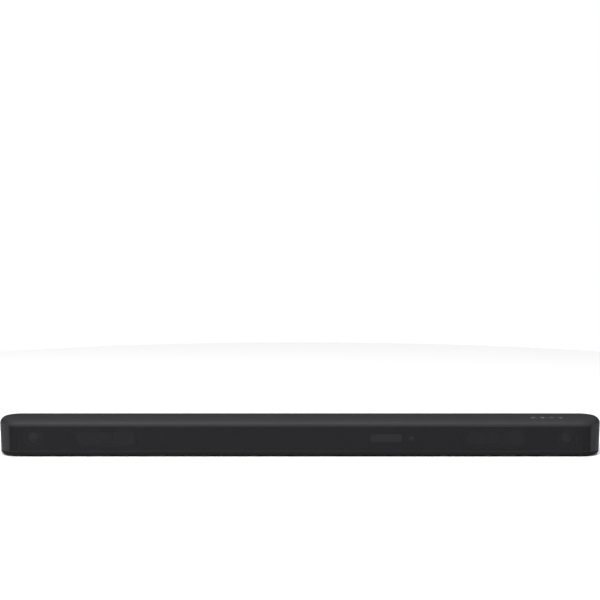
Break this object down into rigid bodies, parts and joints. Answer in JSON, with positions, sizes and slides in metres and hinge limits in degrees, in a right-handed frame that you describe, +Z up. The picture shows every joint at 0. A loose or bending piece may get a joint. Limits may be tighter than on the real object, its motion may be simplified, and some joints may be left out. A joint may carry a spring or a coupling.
{
  "type": "soundbar",
  "caption": "Long slim soundbar with rolled plastic covers, wrapped perforated front grille, top push buttons, rear connection bay and two-way speakers inside.",
  "frame": {"origin": "on the surface that the bar stands on, under the middle of the bar", "axes": "+Z up, +X along the length to the right as seen from in front, front grille towards -Y"},
  "size_m": [0.9, 0.066, 0.0574],
  "materials": {
    "housing_plastic": "dark grey moulded ABS with a fine spark-eroded grain",
    "grille_steel": "perforated sheet steel, matt black-grey powder coat",
    "inner_plastic": "black moulded ABS",
    "button_plastic": "dark grey moulded ABS, pale printed symbols",
    "rubber": "matt black rubber",
    "zinc_steel": "zinc plated",
    "black_steel": "black coated pressed steel",
    "ferrite": "dark grey sintered ferrite",
    "cone_paper": "matt black pressed paper",
    "dome_silk": "coated dark silk",
    "circuit_board": "green solder mask on glass fibre",
    "component_plastic": "black moulded component body",
    "aluminium": "extruded, bare",
    "capacitor_sleeve": "dark blue shrink sleeve",
    "display_window": "smoked clear plastic",
    "cable_sheath": "red PVC insulation"
  },
  "bodies": {
    "housing": {"top_cover": "housing_plastic", "bottom_cover": "housing_plastic", "rear_bay_bezel": "housing_plastic", "front_grille": "grille_steel", "front_baffle": "inner_plastic", "rear_port_panel": "inner_plastic", "foot_front_left": "rubber", "foot_rear_left": "rubber", "foot_front_right": "rubber", "foot_rear_right": "rubber", "left_woofer_surround": "rubber", "right_woofer_surround": "rubber", "case_screw_rear_outer_left": "zinc_steel", "case_screw_rear_inner_left": "zinc_steel", "case_screw_rear_inner_right": "zinc_steel", "case_screw_rear_outer_right": "zinc_steel", "case_screw_front_left": "zinc_steel", "case_screw_front_right": "zinc_steel", "keyhole_plate_left": "zinc_steel", "keyhole_plate_right": "zinc_steel", "left_woofer_frame": "black_steel", "right_woofer_frame": "black_steel", "left_tweeter_frame": "black_steel", "right_tweeter_frame": "black_steel", "left_woofer_magnet": "ferrite", "right_woofer_magnet": "ferrite", "power_transformer": "ferrite", "main_board": "circuit_board", "power_board": "circuit_board", "button_board": "circuit_board", "display_board": "circuit_board", "wireless_module": "circuit_board", "power_switch": "component_plastic", "source_switch": "component_plastic", "volume_down_switch": "component_plastic", "volume_up_switch": "component_plastic", "power_inlet": "component_plastic", "video_socket": "component_plastic", "optical_socket": "component_plastic", "aux_socket": "component_plastic", "usb_socket": "component_plastic", "heatsink": "aluminium", "mains_capacitor": "capacitor_sleeve", "display_module": "display_window", "infrared_receiver": "display_window", "left_speaker_lead": "cable_sheath", "right_speaker_lead": "cable_sheath"},
    "power_button": {"power_button": "button_plastic"},
    "source_button": {"source_button": "button_plastic"},
    "volume_down_button": {"volume_down_button": "button_plastic"},
    "volume_up_button": {"volume_up_button": "button_plastic"},
    "left_woofer_cone": {"left_woofer_cone": "cone_paper"},
    "right_woofer_cone": {"right_woofer_cone": "cone_paper"},
    "left_tweeter_dome": {"left_tweeter_dome": "dome_silk"},
    "right_tweeter_dome": {"right_tweeter_dome": "dome_silk"}
  },
  "joints": [
    {"name": "power_press", "type": "slide", "parent": "housing", "child": "power_button", "axis": [0, 0, -1], "range_m": [0, 0.0005], "stiffness_N_per_m": 2500},
    {"name": "source_press", "type": "slide", "parent": "housing", "child": "source_button", "axis": [0, 0, -1], "range_m": [0, 0.0005], "stiffness_N_per_m": 2500},
    {"name": "volume_down_press", "type": "slide", "parent": "housing", "child": "volume_down_button", "axis": [0, 0, -1], "range_m": [0, 0.0005], "stiffness_N_per_m": 2500},
    {"name": "volume_up_press", "type": "slide", "parent": "housing", "child": "volume_up_button", "axis": [0, 0, -1], "range_m": [0, 0.0005], "stiffness_N_per_m": 2500},
    {"name": "left_woofer_excursion", "type": "slide", "parent": "housing", "child": "left_woofer_cone", "axis": [0, -1, 0], "range_m": [-0.0015, 0.0015], "stiffness_N_per_m": 1500},
    {"name": "left_tweeter_excursion", "type": "slide", "parent": "housing", "child": "left_tweeter_dome", "axis": [0, -1, 0], "range_m": [-0.0003, 0.0003], "stiffness_N_per_m": 2500},
    {"name": "right_woofer_excursion", "type": "slide", "parent": "housing", "child": "right_woofer_cone", "axis": [0, -1, 0], "range_m": [-0.0015, 0.0015], "stiffness_N_per_m": 1500},
    {"name": "right_tweeter_excursion", "type": "slide", "parent": "housing", "child": "right_tweeter_dome", "axis": [0, -1, 0], "range_m": [-0.0003, 0.0003], "stiffness_N_per_m": 2500}
  ]
}
